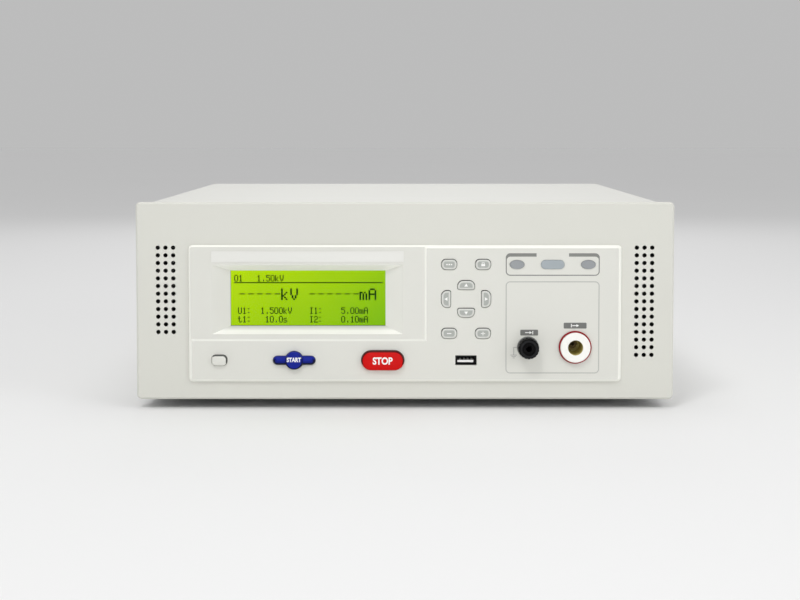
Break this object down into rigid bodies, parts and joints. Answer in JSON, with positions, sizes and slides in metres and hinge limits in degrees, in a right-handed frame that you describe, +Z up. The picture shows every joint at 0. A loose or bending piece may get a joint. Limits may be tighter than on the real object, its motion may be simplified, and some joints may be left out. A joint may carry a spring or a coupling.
{
  "type": "hipot tester",
  "caption": "Bench withstand voltage tester: wide steel case, moulded fascia with display, start and stop buttons, keypad, indicator lamps and output terminals.",
  "frame": {"origin": "on the surface under the feet, below the middle of the overall box", "axes": "+Z up, the front panel faces -Y, +X to the right as seen from the front"},
  "size_m": [0.36, 0.4242, 0.1388],
  "materials": {
    "case_paint": "fine matt powder coat",
    "panel_paint": "fine matt powder coat",
    "zinc_sheet": "zinc plated",
    "fascia_plastic": "fine texture",
    "strip_film": "smooth film",
    "clear_window": "clear",
    "lcd_green": "lit from behind",
    "diffuser": "frosted",
    "circuit_board": "solder mask",
    "part_black": "moulded",
    "screw_steel": "plated",
    "lamp_grey": "tinted lens",
    "led_clear": "clear resin",
    "port_steel": "plated",
    "port_white": "moulded",
    "ring_red": "moulded",
    "insulator_white": "moulded",
    "brass": "turned",
    "post_grey": "moulded",
    "post_black": "moulded",
    "start_blue": "moulded",
    "stop_red": "moulded",
    "key_grey": "fine texture",
    "rubber_black": "moulded",
    "winding": "enamelled copper",
    "core_steel": "laminated",
    "lead_red": "silicone",
    "sink_black": "anodised",
    "fan_black": "moulded"
  },
  "bodies": {
    "chassis": {"base_tray": "zinc_sheet", "top_cover": "case_paint", "rear_panel": "case_paint", "front_panel": "panel_paint", "panel_brackets": "zinc_sheet", "fascia": "fascia_plastic", "name_strip": "strip_film", "display_window": "clear_window", "lcd_frame": "part_black", "lcd_glass": "lcd_green", "lcd_backlight": "diffuser", "lcd_board": "circuit_board", "key_board": "circuit_board", "key_switches": "part_black", "power_switch": "part_black", "board_screws": "screw_steel", "lamp_lenses": "lamp_grey", "lamp_leds": "led_clear", "usb_shell": "port_steel", "usb_tongue": "port_white", "output_ring": "ring_red", "output_insulator": "insulator_white", "output_contact": "brass", "output_nut": "insulator_white", "return_base": "post_grey", "return_stud": "post_black", "return_nut": "brass", "feet": "rubber_black", "case_screws": "screw_steel", "mains_toroid": "winding", "toroid_clamp": "screw_steel", "hv_core": "core_steel", "hv_winding": "winding", "hv_lead": "lead_red", "control_board": "circuit_board", "control_parts": "part_black", "hv_board": "circuit_board", "heat_sink": "sink_black", "fan_frame": "fan_black", "fan_guard": "screw_steel", "inlet_housing": "fan_black", "inlet_pins": "port_steel", "serial_port": "port_steel", "handler_port": "port_steel", "earth_post": "brass"},
    "key_upper_left_body": {"key_upper_left": "key_grey"},
    "key_upper_right_body": {"key_upper_right": "key_grey"},
    "key_lower_left_body": {"key_lower_left": "key_grey"},
    "key_lower_right_body": {"key_lower_right": "key_grey"},
    "key_up_body": {"key_up": "key_grey"},
    "key_down_body": {"key_down": "key_grey"},
    "key_left_body": {"key_left": "key_grey"},
    "key_right_body": {"key_right": "key_grey"},
    "power_button_body": {"power_button": "fascia_plastic"},
    "start_button_body": {"start_button": "start_blue"},
    "stop_button_body": {"stop_button": "stop_red"},
    "return_collar_body": {"return_collar": "brass"},
    "return_cap_body": {"return_cap": "post_black"},
    "fan_rotor_body": {"fan_rotor": "fan_black"},
    "fuse_drawer_body": {"fuse_drawer": "fan_black"}
  },
  "joints": [
    {"name": "power_press", "type": "slide", "parent": "chassis", "child": "power_button_body", "axis": [0, 1, 0], "range_m": [0, 0.002]},
    {"name": "start_press", "type": "slide", "parent": "chassis", "child": "start_button_body", "axis": [0, 1, 0], "range_m": [0, 0.0015], "stiffness_N_per_m": 1200},
    {"name": "stop_press", "type": "slide", "parent": "chassis", "child": "stop_button_body", "axis": [0, 1, 0], "range_m": [0, 0.0015], "stiffness_N_per_m": 1200},
    {"name": "key_upper_left_press", "type": "slide", "parent": "chassis", "child": "key_upper_left_body", "axis": [0, 1, 0], "range_m": [0, 0.0008], "stiffness_N_per_m": 1800},
    {"name": "key_upper_right_press", "type": "slide", "parent": "chassis", "child": "key_upper_right_body", "axis": [0, 1, 0], "range_m": [0, 0.0008], "stiffness_N_per_m": 1800},
    {"name": "key_lower_left_press", "type": "slide", "parent": "chassis", "child": "key_lower_left_body", "axis": [0, 1, 0], "range_m": [0, 0.0008], "stiffness_N_per_m": 1800},
    {"name": "key_lower_right_press", "type": "slide", "parent": "chassis", "child": "key_lower_right_body", "axis": [0, 1, 0], "range_m": [0, 0.0008], "stiffness_N_per_m": 1800},
    {"name": "key_up_press", "type": "slide", "parent": "chassis", "child": "key_up_body", "axis": [0, 1, 0], "range_m": [0, 0.0008], "stiffness_N_per_m": 1800},
    {"name": "key_down_press", "type": "slide", "parent": "chassis", "child": "key_down_body", "axis": [0, 1, 0], "range_m": [0, 0.0008], "stiffness_N_per_m": 1800},
    {"name": "key_left_press", "type": "slide", "parent": "chassis", "child": "key_left_body", "axis": [0, 1, 0], "range_m": [0, 0.0008], "stiffness_N_per_m": 1800},
    {"name": "key_right_press", "type": "slide", "parent": "chassis", "child": "key_right_body", "axis": [0, 1, 0], "range_m": [0, 0.0008], "stiffness_N_per_m": 1800},
    {"name": "return_cap_lift", "type": "slide", "parent": "chassis", "child": "return_collar_body", "axis": [0, -1, 0], "range_m": [0, 0.003]},
    {"name": "return_cap_turn", "type": "hinge", "parent": "return_collar_body", "child": "return_cap_body", "pos_m": [0.0822, -0.2037, 0.04185], "axis": [0, -1, 0], "range_deg": [0, 1090]},
    {"name": "fan_spin", "type": "hinge", "parent": "chassis", "child": "fan_rotor_body", "pos_m": [-0.1, 0.1796, 0.0725], "axis": [0, 1, 0], "continuous": true},
    {"name": "drawer_slide", "type": "slide", "parent": "chassis", "child": "fuse_drawer_body", "axis": [0, 1, 0], "range_m": [0, 0.018]}
  ],
  "couplings": [
    {"joint": "return_cap_turn", "follows": "return_cap_lift", "rad_per_m": 6283.2}
  ]
}
